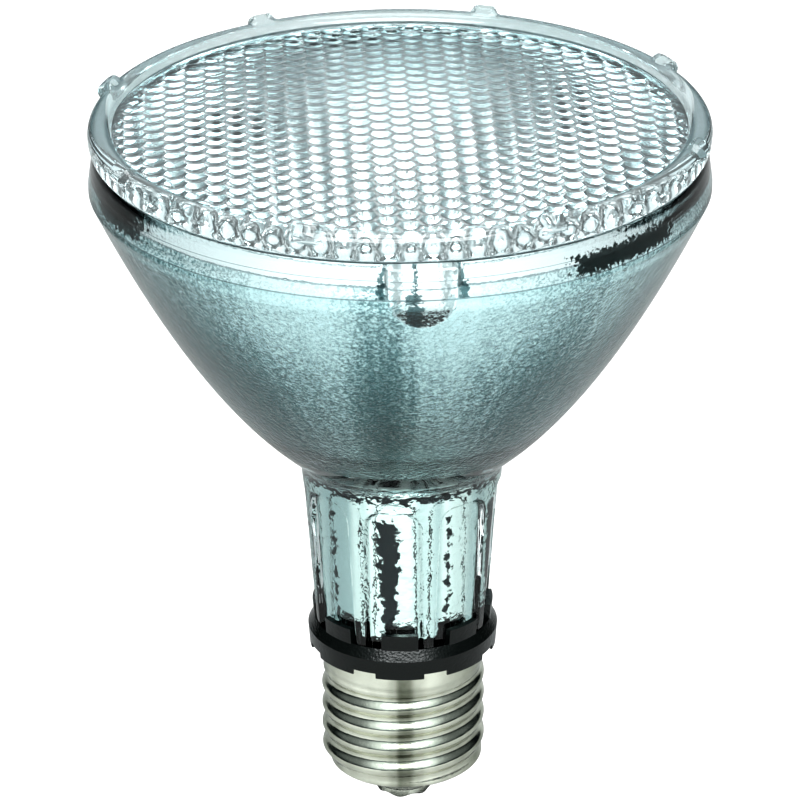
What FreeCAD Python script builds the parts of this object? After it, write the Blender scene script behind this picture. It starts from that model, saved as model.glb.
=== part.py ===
import FreeCAD, Part
import math
import os

os.makedirs("parts", exist_ok=True)

# Reflector lamp with a screw cap: pressed glass bowl, fluted neck, patterned front lens,
# and a ceramic burner in a quartz jacket. Sizes in millimetres, angles in degrees.
# The axis is +Z. Height 0 is the tip of the centre contact, and the lens is at the top.

# Screw cap: thin rolled shell, glass insulator, centre contact
solder_flat_radius = 1.2
solder_waist_radius = 2.95
solder_waist_height = 0.8
solder_radius = 3.8
solder_height = 2.2
contact_radius = 4.6
contact_thickness = 0.4
contact_hole_radius = 1.2
contact_tube_length = 3.0
contact_tube_wall = 0.3
insulator_face_radius = 5.0
insulator_cone_height = 3.8
insulator_height = 7.5
shell_wall = 0.3
shoulder_width = 1.75
shoulder_rise = 3.6
thread_crest_radius = 13.15
thread_depth = 0.8
thread_runout = 0.6
band_step = 0.25
band_length = 4.4
cap_height = 28.8
flange_width = 1.65

# Black collar that joins the neck to the cap
collar_skirt_drop = 0.9
collar_skirt_wall = 0.35
collar_flare = 0.25
collar_lip_rise = 1.2
collar_lip_wall = 1.3
collar_top_rise = 1.7
collar_floor = 1.2
collar_spigot_wall = 1.1
collar_notch_angle = 15.0
collar_finger_rise = 2.5
collar_finger_gap = 1.8
collar_play_angle = 3.7
fit_gap = 0.1

# Pressed glass reflector
neck_length = 31.2
neck_taper = 2.2
neck_wall = 2.55
throat_wall = 4.15
flute_count = 8
flute_turn = -95.7
flute_angle = 36.5
flute_depth = 0.9
flute_corner = 3.0
flute_headroom = 3.4
cove_radius = 5.0
bowl_focus = 11.25
mirror_rise = 5.9
bowl_radius = 48.5
rim_land = 0.9
crease_step = 0.4
crease_rise = 2.93
rim_rise = 2.5
rim_step = 1.1
rim_wall = 3.2
pad_count = 3
pad_turn = -86.1
pad_radius = 5.4
pad_drop = 5.07
pad_depth = 2.9
pad_lip = 1.1

# Front lens and its cement
cement_thickness = 0.25
lens_step = 0.1
bead_radius = 1.95
bead_height = 2.45
lens_field_angle = 160.0
lens_dome = 2.4
lens_thickness = 3.0
lens_spigot_wall = 0.9
lens_spigot_depth = 1.3
lens_skirt_width = 0.85
nub_count = 8
nub_turn = 28.0
nub_radius = 1.6
nub_length = 4.0
nub_offset = 1.05

# Burner: quartz jacket with a flat pinch, ceramic arc tube on the mirror's focus
jacket_clearance = 0.55
jacket_wall = 1.1
jacket_sink = 2.0
jacket_foot_radius = 4.0
jacket_taper = 4.5
jacket_headroom = 2.45
pinch_width = 13.0
pinch_thickness = 4.0
tip_radius = 1.5
tip_end_radius = 0.5
tip_length = 3.0
arc_radius = 3.7
arc_length = 9.0
arc_bevel = 0.9
capillary_radius = 1.25
capillary_length = 11.0
electrode_radius = 0.4
electrode_reach = 3.5
electrode_insert = 2.0
seal_gap = 0.05
wire_radius = 0.35
wire_bend = 1.5
wire_gap = 0.45
wire_span = 5.55
foil_spacing = 3.0
foil_width = 2.4
foil_thickness = 0.1
foil_rise = 1.8
foil_cover = 4.4
weld_lap = 1.0
getter_length = 4.0
getter_width = 2.0
getter_thickness = 0.3
getter_drop = 4.0

# Ceramic holder, cement, pins and the two cap leads
holder_gap = 0.5
holder_seat = 1.9
holder_height = 8.5
holder_floor = 3.8
neck_cement_height = 7.0
pin_radius = 0.5
pin_length = 12.0
lead_radius = 0.4
lead_bend = 1.0
lead_straight = 0.2
lead_lap = 3.0
lead_drop = 2.0
lead_end_height = 1.2
sleeve_wall = 0.45
sleeve_length = 9.0

full_turn = 360.0
origin = FreeCAD.Vector(0, 0, 0)
up = FreeCAD.Vector(0, 0, 1)

# Radii that follow from the sizes above, from the cap's thread up to the neck
insulator_bore = contact_hole_radius + contact_tube_wall + fit_gap
shell_radius = thread_crest_radius - thread_depth / 2
shell_end_radius = shell_radius - shoulder_width
band_radius = thread_crest_radius - band_step
flange_radius = band_radius + flange_width
spigot_radius = band_radius - shell_wall - fit_gap
spigot_bore = spigot_radius - collar_spigot_wall
collar_foot_radius = flange_radius + fit_gap + collar_skirt_wall
collar_lip_radius = collar_foot_radius + collar_flare
neck_foot_radius = collar_lip_radius - collar_lip_wall
neck_top_radius = neck_foot_radius + neck_taper
neck_bore_foot = neck_foot_radius - neck_wall
neck_bore_top = neck_top_radius - throat_wall
holder_radius = neck_bore_foot - holder_gap
collar_floor_bore = holder_radius - holder_seat

# Radii of the rim and the lens
crease_radius = bowl_radius - crease_step
rim_top_radius = bowl_radius - rim_step
rim_bore = bowl_radius - rim_wall
pad_root = bowl_radius - pad_depth
lens_widest_radius = bowl_radius - lens_step
lens_skirt_radius = lens_widest_radius - lens_skirt_width
bead_centre_radius = lens_widest_radius - bead_radius

# Heights of the cap, the collar and the glass
contact_face = solder_height
insulator_foot = contact_face + contact_thickness
contact_tube_top = insulator_foot + contact_tube_length
shell_end_height = insulator_foot + insulator_cone_height
shell_shoulder_height = shell_end_height + shoulder_rise
thread_end_height = cap_height - band_length
band_low_height = thread_end_height + thread_runout
spigot_foot_height = band_low_height + fit_gap
collar_foot_height = cap_height - collar_skirt_drop
collar_floor_height = cap_height + collar_floor
collar_lip_height = collar_floor_height + collar_lip_rise
collar_top_height = collar_lip_height + collar_top_rise
collar_finger_height = collar_top_height + collar_finger_rise
neck_foot_height = collar_floor_height
neck_top_height = neck_foot_height + neck_length
flute_top_height = neck_top_height - flute_headroom
bowl_vertex_height = neck_top_height - neck_top_radius ** 2 / (4 * bowl_focus)
mirror_vertex_height = bowl_vertex_height + mirror_rise
throat_height = mirror_vertex_height + neck_bore_top ** 2 / (4 * bowl_focus)
mirror_top_height = mirror_vertex_height + rim_bore ** 2 / (4 * bowl_focus)
bowl_top_height = bowl_vertex_height + bowl_radius ** 2 / (4 * bowl_focus)
band_foot_height = bowl_top_height + rim_land
pad_bottom_height = band_foot_height - pad_drop
crease_height = band_foot_height + crease_rise
rim_height = crease_height + rim_rise
pad_top_height = rim_height - pad_lip
lens_seat_height = rim_height + cement_thickness
bead_centre_height = lens_seat_height + bead_height

# Places of the burner, which hangs on the mirror's focus
focus_height = mirror_vertex_height + bowl_focus
arc_foot_height = focus_height - arc_length / 2
capillary_foot = arc_foot_height - capillary_length
capillary_top = focus_height + arc_length / 2 + capillary_length
electrode_foot = capillary_foot - electrode_reach
electrode_top = capillary_top + electrode_reach
frame_offset = arc_radius + wire_gap + wire_radius
jacket_radius = frame_offset + wire_radius + jacket_clearance + jacket_wall
jacket_top_height = electrode_top + jacket_headroom
pinch_top_height = electrode_foot - wire_span
jacket_foot_height = pinch_top_height - jacket_sink
pinch_foot_height = collar_floor_height + holder_floor
foil_foot_height = pinch_foot_height + foil_rise
foil_top_height = pinch_top_height - foil_cover
pin_top_height = foil_foot_height + weld_lap
pin_foot_height = pin_top_height - pin_length
pin_side = pin_radius + foil_thickness / 2
lead_beside_pin = math.sqrt((pin_radius + lead_radius) ** 2 - pin_side ** 2)
wire_side = wire_radius + foil_thickness / 2


def at(radius, height):
    return FreeCAD.Vector(radius, 0, height)


def run(*corners):
    # Straight edges through corners given as (radius, height).
    spots = [at(*corner) for corner in corners]
    return [Part.LineSegment(a, b).toShape() for a, b in zip(spots[:-1], spots[1:])]


def bend(start, middle, end):
    # One arc through three spots given as (radius, height).
    return [Part.Arc(at(*start), at(*middle), at(*end)).toShape()]


def parabola(vertex_height, start_radius, end_radius):
    # Exact parabola about the axis: its middle pole is where the end tangents cross.
    def height(a, b):
        return vertex_height + a * b / (4 * bowl_focus)

    curve = Part.BezierCurve()
    curve.setPoles([
        at(start_radius, height(start_radius, start_radius)),
        at((start_radius + end_radius) / 2, height(start_radius, end_radius)),
        at(end_radius, height(end_radius, end_radius)),
    ])
    return [curve.toShape()]


def upright(solid):
    # A closed solid with its faces pointing outwards.
    if solid.Volume < 0:
        solid.reverse()
    return solid


def turned(edges):
    # Solid of revolution from a closed outline.
    face = Part.Face(Part.Wire(Part.__sortEdges__(edges)))
    return upright(face.revolve(origin, up, full_turn))


def turned_corners(*corners):
    return turned(run(*corners, corners[0]))


def cylinder(radius, low, high, x=0.0, y=0.0):
    return Part.makeCylinder(radius, high - low, FreeCAD.Vector(x, y, low), up)


def block(x_low, x_high, y_low, y_high, low, high):
    corner = FreeCAD.Vector(x_low, y_low, low)
    return Part.makeBox(x_high - x_low, y_high - y_low, high - low, corner)


def around(solid, count, first_angle):
    # Copies of a solid that stands on the +X side, spread evenly about the axis.
    copies = []
    for index in range(count):
        copy = solid.copy()
        copy.rotate(origin, up, first_angle + index * full_turn / count)
        copies.append(copy)
    return copies


def whole(shape):
    # The single solid of a boolean result.
    solids = shape.removeSplitter().Solids
    return upright(solids[0])


def on_circle(radius, height, centre_radius, centre_height, angle):
    turn = math.radians(angle)
    return (centre_radius + radius * math.cos(turn), centre_height + radius * math.sin(turn))


def neck_radius(height):
    share = (height - neck_foot_height) / (neck_top_height - neck_foot_height)
    return neck_foot_radius + share * (neck_top_radius - neck_foot_radius)


def bore_radius(height):
    share = (height - neck_foot_height) / (throat_height - neck_foot_height)
    return neck_bore_foot + share * (neck_bore_top - neck_bore_foot)


def flute_half_width():
    middle_radius = (neck_radius(neck_foot_height) + neck_radius(flute_top_height)) / 2
    return middle_radius * math.radians(flute_angle) / 2


def flute_cutter():
    # Shallow recess with a round-cornered top: a tall slot cut back to the flute's depth.
    half_width = flute_half_width()
    inner_half = half_width - flute_corner
    corner_height = flute_top_height - flute_corner
    reach = neck_top_radius + flute_depth
    slot = block(0, reach, -half_width, half_width, neck_foot_height - 1, corner_height)
    head = block(0, reach, -inner_half, inner_half, corner_height, flute_top_height)
    corners = [
        Part.makeCylinder(flute_corner, reach, FreeCAD.Vector(0, side, corner_height), FreeCAD.Vector(1, 0, 0))
        for side in (-inner_half, inner_half)
    ]
    core = turned_corners(
        (0, neck_foot_height - 2),
        (neck_radius(neck_foot_height - 2) - flute_depth, neck_foot_height - 2),
        (neck_radius(neck_top_height) - flute_depth, neck_top_height),
        (0, neck_top_height),
    )
    return slot.fuse([head] + corners).cut(core)


def rim_pad():
    # Round-footed pad under the lens, flush with the widest part of the bowl.
    centre_height = pad_bottom_height + pad_radius
    centre = FreeCAD.Vector(pad_root, 0, centre_height)
    disc = Part.makeCylinder(pad_radius, pad_depth + 1, centre, FreeCAD.Vector(1, 0, 0))
    face = block(pad_root, bowl_radius + 1, -pad_radius, pad_radius, centre_height, pad_top_height)
    return disc.fuse(face).common(cylinder(bowl_radius, pad_bottom_height - 1, pad_top_height))


def reflector_body():
    outline = run(
        (neck_bore_foot, neck_foot_height),
        (neck_foot_radius, neck_foot_height),
        (neck_top_radius, neck_top_height),
    )
    outline += parabola(bowl_vertex_height, neck_top_radius, bowl_radius)
    outline += run(
        (bowl_radius, bowl_top_height),
        (bowl_radius, band_foot_height),
        (crease_radius, crease_height),
        (rim_top_radius, rim_height),
        (rim_bore, rim_height),
        (rim_bore, mirror_top_height),
    )
    outline += parabola(mirror_vertex_height, rim_bore, neck_bore_top)
    outline += run((neck_bore_top, throat_height), (neck_bore_foot, neck_foot_height))
    body = turned(outline)
    corner = [edge for edge in body.Edges if is_ring(edge, neck_top_radius, neck_top_height)]
    body = body.makeFillet(cove_radius, corner)
    body = body.fuse(around(rim_pad(), pad_count, pad_turn))
    return whole(body.cut(around(flute_cutter(), flute_count, flute_turn)))


def is_ring(edge, radius, height):
    # True for the circular edge about the axis at this radius and height.
    spot = edge.Vertexes[0].Point
    return abs(spot.z - height) < 0.01 and abs(math.hypot(spot.x, spot.y) - radius) < 0.01 \
        and edge.BoundBox.ZLength < 0.01


def rim_cement():
    return turned_corners(
        (rim_bore + fit_gap, rim_height),
        (rim_top_radius, rim_height),
        (rim_top_radius, lens_seat_height),
        (rim_bore + fit_gap, lens_seat_height),
    )


def lens_nub():
    # Round-backed lug across the bead's shoulder.
    centre = FreeCAD.Vector(bead_centre_radius + nub_offset, -nub_length / 2, bead_centre_height + nub_offset)
    return Part.makeCylinder(nub_radius, nub_length, centre, FreeCAD.Vector(0, 1, 0))


def front_lens():
    field = on_circle(bead_radius, 0, bead_centre_radius, bead_centre_height, lens_field_angle)
    crown = on_circle(bead_radius, 0, bead_centre_radius, bead_centre_height, lens_field_angle / 2)
    widest = (lens_widest_radius, bead_centre_height)
    skirt = (lens_skirt_radius, lens_seat_height)
    skirt_middle = ((2 * lens_widest_radius + lens_skirt_radius) / 3, (widest[1] + skirt[1]) / 2)
    spigot_radius = rim_bore - fit_gap
    spigot_bore = spigot_radius - lens_spigot_wall
    spigot_foot = lens_seat_height - lens_spigot_depth
    middle_height = field[1] + lens_dome
    inner_edge = (spigot_bore, field[1] - lens_thickness)
    outline = bend(skirt, skirt_middle, widest) + bend(widest, crown, field)
    outline += dome(field, middle_height)
    outline += run((0, middle_height), (0, middle_height - lens_thickness))
    outline += dome(inner_edge, middle_height - lens_thickness)
    outline += run(
        inner_edge,
        (spigot_bore, spigot_foot),
        (spigot_radius, spigot_foot),
        (spigot_radius, lens_seat_height),
        skirt,
    )
    lens = turned(outline)
    return whole(lens.fuse(around(lens_nub(), nub_count, nub_turn)))


def dome(edge_spot, middle_height):
    # Shallow spherical arc from a rim spot to the axis.
    rise = middle_height - edge_spot[1]
    ball_radius = (edge_spot[0] ** 2 + rise ** 2) / (2 * rise)
    half = edge_spot[0] / 2
    half_height = middle_height - ball_radius + math.sqrt(ball_radius ** 2 - half ** 2)
    return bend(edge_spot, (half, half_height), (0, middle_height))


def shoulder(inset):
    # Quarter round from the shell's lower end out to the threaded part, drawn in by the inset.
    reach = shell_radius - shell_end_radius
    rise = shell_shoulder_height - shell_end_height
    middle = on_circle(1, 0, 0, 0, 45)
    return (
        (shell_end_radius - inset, shell_end_height),
        (shell_end_radius + reach * middle[0] - inset, shell_end_height + rise * (1 - middle[1])),
        (shell_radius - inset, shell_shoulder_height),
    )


def screw_shell():
    # Thin sheet with a rounded lower shoulder, a plain band and a small flange. The threaded
    # part stands at the thread's mean radius, and the fine thread itself isn't cut.
    flange_foot = cap_height - shell_wall
    outer = shoulder(0)
    inner = shoulder(shell_wall)
    outline = run(inner[0], outer[0]) + bend(*outer)
    outline += run(
        outer[2],
        (shell_radius, thread_end_height),
        (band_radius, band_low_height),
        (band_radius, flange_foot),
        (flange_radius, flange_foot),
        (flange_radius, cap_height),
        (band_radius - shell_wall, cap_height),
        (band_radius - shell_wall, band_low_height),
        (shell_radius - shell_wall, thread_end_height),
        inner[2],
    )
    return turned(outline + bend(*reversed(inner)))


def cap_insulator():
    # Glass cone that closes the shell's lower end and carries the contact.
    inner_end = shell_end_radius - shell_wall
    return turned_corners(
        (insulator_bore, insulator_foot),
        (insulator_face_radius, insulator_foot),
        (inner_end - fit_gap, shell_end_height),
        (inner_end - fit_gap, insulator_foot + insulator_height),
        (insulator_bore, insulator_foot + insulator_height),
    )


def centre_contact():
    plate = cylinder(contact_radius, contact_face, insulator_foot)
    neck = cylinder(insulator_bore - fit_gap, insulator_foot, contact_tube_top)
    return plate.fuse(neck).cut(cylinder(contact_hole_radius, 0, cap_height)).removeSplitter().Solids[0]


def centre_solder():
    # Blob with a flat tip. It fills the contact's tube round the lead's end.
    outline = run(
        (0, 0),
        (solder_flat_radius, 0),
        (solder_waist_radius, solder_waist_height),
        (solder_radius, contact_face),
        (contact_hole_radius, contact_face),
        (contact_hole_radius, contact_tube_top),
        (0, contact_tube_top),
        (0, 0),
    )
    return whole(turned(outline).cut(cylinder(lead_radius + seal_gap, lead_end_height, cap_height)))


def collar():
    top_bore = neck_radius(collar_top_height) + fit_gap
    body = turned_corners(
        (spigot_bore, spigot_foot_height),
        (spigot_radius, spigot_foot_height),
        (spigot_radius, cap_height),
        (flange_radius + fit_gap, cap_height),
        (flange_radius + fit_gap, collar_foot_height),
        (collar_foot_radius, collar_foot_height),
        (collar_lip_radius, collar_lip_height),
        (top_bore, collar_top_height),
        (neck_foot_radius + fit_gap, collar_floor_height),
        (collar_floor_bore, collar_floor_height),
        (collar_floor_bore, cap_height),
        (spigot_bore, cap_height),
    )
    fingers = around(collar_finger(), flute_count, flute_turn + collar_play_angle)
    notches = around(collar_notch(), flute_count, flute_turn + collar_play_angle + full_turn / flute_count / 2)
    slot_half = lead_radius + fit_gap
    lead_slot = block(0, spigot_radius + fit_gap / 2, -slot_half, slot_half, spigot_foot_height - 1, cap_height)
    return whole(body.fuse(fingers).cut(notches).cut(lead_slot))


def collar_finger():
    # Upright key that stands in the foot of a flute.
    half_width = flute_half_width() - collar_finger_gap
    key = block(0, neck_top_radius, -half_width, half_width, collar_floor_height, collar_finger_height)
    ring = turned_corners(
        (neck_radius(collar_floor_height) - flute_depth + fit_gap, collar_floor_height),
        (neck_radius(collar_floor_height) + fit_gap * 2, collar_floor_height),
        (neck_radius(collar_finger_height) + fit_gap * 2, collar_finger_height),
        (neck_radius(collar_finger_height) - flute_depth + fit_gap, collar_finger_height),
    )
    return key.common(ring)


def collar_notch():
    # Window in the skirt's lower edge, up to the shell's flange.
    half_width = collar_foot_radius * math.radians(collar_notch_angle) / 2
    return block(band_radius, collar_lip_radius + 1, -half_width, half_width,
                 collar_foot_height - 1, cap_height)


def capsule(radius, low, high):
    # Round tube with a tapered foot and a hemispherical top.
    slant = radius * math.sqrt(0.5)
    outline = run(
        (0, high),
        (0, low),
        (jacket_foot_radius, low),
        (radius, low + jacket_taper),
        (radius, high - radius),
    )
    outline += bend((radius, high - radius), (slant, high - radius + slant), (0, high))
    return turned(outline)


def rod(radius, corner_radius, *corners):
    # Round wire along straight runs joined by tangent arcs.
    spots = [FreeCAD.Vector(*corner) for corner in corners]
    edges = []
    start = spots[0]
    for before, corner, after in zip(spots[:-2], spots[1:-1], spots[2:]):
        back = (before - corner).normalize()
        ahead = (after - corner).normalize()
        half_turn = (math.pi - back.getAngle(ahead)) / 2
        trim = corner_radius * math.tan(half_turn)
        enter = corner + back * trim
        leave = corner + ahead * trim
        inward = (back + ahead).normalize()
        middle = corner + inward * (corner_radius / math.cos(half_turn) - corner_radius)
        edges.append(Part.LineSegment(start, enter).toShape())
        edges.append(Part.Arc(enter, middle, leave).toShape())
        start = leave
    edges.append(Part.LineSegment(start, spots[-1]).toShape())
    path = Part.Wire(edges)
    ring = Part.Wire(Part.makeCircle(radius, spots[0], spots[1] - spots[0]))
    return upright(path.makePipeShell([ring], True, False))


def frame_wire(radius):
    # Long return wire: up through the pinch, past the arc tube and in to the upper electrode.
    end_x = math.sqrt((electrode_radius + wire_radius) ** 2 - wire_side ** 2)
    return rod(
        radius, wire_bend,
        (foil_spacing, wire_side, foil_top_height - weld_lap),
        (foil_spacing, wire_side, pinch_top_height + wire_bend),
        (frame_offset, wire_side, pinch_top_height + 3 * wire_bend),
        (frame_offset, wire_side, capillary_top - wire_bend),
        (end_x, wire_side, capillary_top + wire_bend),
        (end_x, wire_side, electrode_top),
    )


def short_wire(radius):
    # Short wire from the pinch in to the lower electrode.
    end_x = -math.sqrt((electrode_radius + wire_radius) ** 2 - wire_side ** 2)
    return rod(
        radius, wire_bend / 2,
        (-foil_spacing, wire_side, foil_top_height - weld_lap),
        (-foil_spacing, wire_side, pinch_top_height + wire_bend),
        (end_x, wire_side, electrode_foot + weld_lap / 2),
        (end_x, wire_side, capillary_foot - weld_lap / 2),
    )


def foil(side, gap=0.0):
    x = side * foil_spacing
    half_width = foil_width / 2 + gap
    half_thickness = foil_thickness / 2 + gap
    return block(x - half_width, x + half_width, -half_thickness, half_thickness,
                 foil_foot_height - gap, foil_top_height + gap)


def pin(side, gap=0.0):
    return cylinder(pin_radius + gap, pin_foot_height, pin_top_height + gap, side * foil_spacing, pin_side)


def burner_jacket():
    centre_top = jacket_top_height - jacket_wall
    outer = capsule(jacket_radius, jacket_foot_height, jacket_top_height)
    pinch = block(-pinch_width / 2, pinch_width / 2, -pinch_thickness / 2, pinch_thickness / 2,
                  pinch_foot_height, pinch_top_height)
    tip = Part.makeCone(tip_radius, tip_end_radius, tip_length + jacket_wall, FreeCAD.Vector(0, 0, centre_top), up)
    body = outer.fuse([pinch, tip])
    inner = capsule(jacket_radius - jacket_wall, jacket_foot_height + jacket_wall, centre_top)
    body = body.cut(inner)
    for side in (-1, 1):
        body = body.cut(foil(side, seal_gap)).cut(pin(side, seal_gap))
    body = body.cut(frame_wire(wire_radius + seal_gap)).cut(short_wire(wire_radius + seal_gap))
    return upright(body.Solids[0])


def arc_tube():
    # One sintered ceramic piece: bevelled barrel with a slim tube at each end for the electrodes.
    barrel = cylinder(arc_radius, arc_foot_height, arc_foot_height + arc_length)
    barrel = barrel.makeChamfer(arc_bevel, [edge for edge in barrel.Edges if edge.BoundBox.ZLength < 0.01])
    body = barrel.fuse(cylinder(capillary_radius, capillary_foot, capillary_top))
    body = body.cut(electrode(-1, seal_gap)).cut(electrode(1, seal_gap))
    return whole(body)


def electrode(side, gap=0.0):
    # Lead that stands in the open end of the slim ceramic tube.
    radius = electrode_radius + gap
    if side < 0:
        return cylinder(radius, electrode_foot, capillary_foot + electrode_insert + gap)
    return cylinder(radius, capillary_top - electrode_insert - gap, electrode_top)


def getter():
    # Small plate welded to the return wire above the arc tube's barrel.
    edge_x = frame_offset - wire_radius
    high = capillary_top - getter_drop
    half = getter_thickness / 2
    return block(edge_x - getter_width, edge_x, wire_side - half, wire_side + half, high - getter_length, high)


def burner_holder():
    # Ceramic puck with a slot for the pinch and two holes for the pins.
    puck = cylinder(holder_radius, collar_floor_height, collar_floor_height + holder_height)
    half_width = pinch_width / 2 + fit_gap
    half_thickness = pinch_thickness / 2 + fit_gap
    slot = block(-half_width, half_width, -half_thickness, half_thickness,
                 pinch_foot_height, collar_floor_height + holder_height + 1)
    return whole(puck.cut(slot).cut(pin(-1, fit_gap)).cut(pin(1, fit_gap)))


def neck_cement():
    top = collar_floor_height + neck_cement_height
    return turned_corners(
        (holder_radius, collar_floor_height),
        (bore_radius(collar_floor_height), collar_floor_height),
        (bore_radius(top), top),
        (holder_radius, top),
    )


def centre_lead():
    # From beside the left pin in to the axis, then down into the centre solder.
    x = lead_beside_pin - foil_spacing
    return rod(
        lead_radius, lead_bend,
        (x, 0, pin_foot_height + lead_lap),
        (x, 0, pin_foot_height - lead_drop),
        (0, 0, contact_tube_top + sleeve_length),
        (0, 0, lead_end_height),
    )


def side_lead():
    # From beside the right pin out through the collar's slot, then down along the shell's band.
    x = lead_beside_pin + foil_spacing
    wall_x = band_radius - shell_wall - lead_radius - seal_gap
    turn_height = spigot_foot_height + lead_bend + lead_straight
    return rod(
        lead_radius, lead_bend,
        (x, 0, turn_height + lead_bend + lead_straight),
        (x, 0, turn_height),
        (wall_x, 0, turn_height),
        (wall_x, 0, spigot_foot_height),
    )


def lead_sleeve():
    tube = cylinder(lead_radius + seal_gap + sleeve_wall, contact_tube_top, contact_tube_top + sleeve_length)
    return tube.cut(cylinder(lead_radius + seal_gap, 0, cap_height))


parts = {
    "reflector_body": reflector_body(),
    "rim_cement": rim_cement(),
    "front_lens": front_lens(),
    "burner_jacket": burner_jacket(),
    "arc_tube": arc_tube(),
    "lower_electrode_lead": electrode(-1),
    "upper_electrode_lead": electrode(1),
    "frame_wire": frame_wire(wire_radius),
    "short_wire": short_wire(wire_radius),
    "getter": getter(),
    "left_foil": foil(-1),
    "right_foil": foil(1),
    "left_pin": pin(-1),
    "right_pin": pin(1),
    "burner_holder": burner_holder(),
    "neck_cement": neck_cement(),
    "centre_lead": centre_lead(),
    "side_lead": side_lead(),
    "lead_sleeve": lead_sleeve(),
    "collar": collar(),
    "screw_shell": screw_shell(),
    "cap_insulator": cap_insulator(),
    "centre_contact": centre_contact(),
    "centre_solder": centre_solder(),
}

for name, solid in parts.items():
    print(name, solid.isValid(), len(solid.Solids), round(solid.Volume, 2))
    solid.exportStep("parts/" + name + ".step")
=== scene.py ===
from math import atan2, cos, degrees, hypot, pi, radians, sin, sqrt

import bmesh
import bpy
from mathutils import Euler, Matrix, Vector
from mathutils.geometry import delaunay_2d_cdt


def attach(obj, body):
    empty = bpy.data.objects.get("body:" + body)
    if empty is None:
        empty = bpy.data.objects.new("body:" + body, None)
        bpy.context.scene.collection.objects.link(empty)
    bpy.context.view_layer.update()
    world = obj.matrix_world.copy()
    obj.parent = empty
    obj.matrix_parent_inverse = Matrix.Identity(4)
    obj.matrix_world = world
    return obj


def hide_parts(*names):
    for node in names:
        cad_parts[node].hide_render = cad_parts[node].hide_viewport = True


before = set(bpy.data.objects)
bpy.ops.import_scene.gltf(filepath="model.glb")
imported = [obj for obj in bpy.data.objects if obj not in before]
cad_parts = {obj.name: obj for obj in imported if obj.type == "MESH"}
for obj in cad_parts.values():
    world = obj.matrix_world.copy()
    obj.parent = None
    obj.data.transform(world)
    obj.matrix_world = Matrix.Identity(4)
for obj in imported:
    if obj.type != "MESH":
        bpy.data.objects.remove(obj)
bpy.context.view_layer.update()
root = "root"
fullTurn = 2 * pi
print("frame loaded with", len(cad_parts), "nodes")


def mm(value):
    return value / 1000


# Small helpers for node trees

class Num:
    # a number that comes out of a node and takes part in plain sums
    def __init__(self, tree, socket):
        self.tree, self.socket = tree, socket

    def __rsub__(self, other):
        return calc(self.tree, "SUBTRACT", other, self)

    def equals(self, other):
        return calc(self.tree, "COMPARE", self, other, 0.1)


def addSum(name, operation):
    setattr(Num, name, lambda self, *others: calc(self.tree, operation, self, *others))


for sumName, sumOperation in {
        "__add__": "ADD", "__sub__": "SUBTRACT", "__mul__": "MULTIPLY", "__truediv__": "DIVIDE", "__pow__": "POWER",
        "__gt__": "GREATER_THAN", "__lt__": "LESS_THAN", "__abs__": "ABSOLUTE", "__round__": "ROUND",
        "max": "MAXIMUM", "min": "MINIMUM", "sqrt": "SQRT", "cos": "COSINE", "sin": "SINE",
        "atan2": "ARCTAN2"}.items():
    addSum(sumName, sumOperation)


def link(tree, value, socket):
    if isinstance(value, Num):
        value = value.socket
    if isinstance(value, bpy.types.NodeSocket):
        tree.links.new(value, socket)
    else:
        socket.default_value = value


def calc(tree, operation, *values, clamp=False):
    node = tree.nodes.new("ShaderNodeMath")
    node.operation = operation
    node.use_clamp = clamp
    for socket, value in zip(node.inputs, values):
        link(tree, value, socket)
    return Num(tree, node.outputs[0])


def smoothRange(value, low, high, lowResult=0.0, highResult=1.0):
    node = value.tree.nodes.new("ShaderNodeMapRange")
    node.interpolation_type = "SMOOTHSTEP"
    for name, item in (("Value", value), ("From Min", low), ("From Max", high),
                       ("To Min", lowResult), ("To Max", highResult)):
        link(value.tree, item, node.inputs[name])
    return Num(value.tree, node.outputs["Result"])


def overMm(value, low, high, *results):
    # a smooth range with its limits in millimetres
    return smoothRange(value, mm(low), mm(high), *results)


def stepAt(value, height, soft, *results):
    return overMm(value, height - soft, height + soft, *results)


def newTree(name, kind, inputs, outputs):
    tree = bpy.data.node_groups.new(name, kind)
    for label, socketType, value in inputs:
        socket = tree.interface.new_socket(label, in_out="INPUT", socket_type=socketType)
        if value is not None:
            socket.default_value = value
    for label, socketType in outputs:
        tree.interface.new_socket(label, in_out="OUTPUT", socket_type=socketType)
    start = tree.nodes.new("NodeGroupInput").outputs
    end = tree.nodes.new("NodeGroupOutput").inputs
    return tree, {label: Num(tree, start[label]) for label, *_ in inputs}, end


def newEffect(name, inputs, outputs):
    # a shader group with plain numbers in and out
    return newTree(name, "ShaderNodeTree", [(label, "NodeSocketFloat", value) for label, value in inputs.items()],
                   [(label, "NodeSocketFloat") for label in outputs])


def newShapeTree(name, sizes):
    # a geometry tree whose inputs are named sizes in metres or radians
    inputs = [("Geometry", "NodeSocketGeometry", None)]
    inputs += [(label, "NodeSocketFloat", value) for label, value in sizes.items()]
    return newTree(name, "GeometryNodeTree", inputs, [("Geometry", "NodeSocketGeometry")])


def splitParts(tree, socket):
    split = tree.nodes.new("ShaderNodeSeparateXYZ")
    link(tree, socket, split.inputs[0])
    return [Num(tree, part) for part in split.outputs]


def positionParts(tree):
    return splitParts(tree, tree.nodes.new("GeometryNodeInputPosition").outputs[0])


def objectParts(tree):
    return splitParts(tree, tree.nodes.new("ShaderNodeTexCoord").outputs["Object"])


def distanceOf(a, b):
    return (a * a + b * b).sqrt()


def aroundAxis(x, y):
    return distanceOf(x, y), y.atan2(x)


def joinParts(*parts):
    tree = parts[0].tree
    join = tree.nodes.new("ShaderNodeCombineXYZ")
    for socket, value in zip(join.inputs, parts):
        link(tree, value, socket)
    return join.outputs[0]


def placeAt(radius, angle, height):
    return joinParts(radius * angle.cos(), radius * angle.sin(), height)


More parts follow.
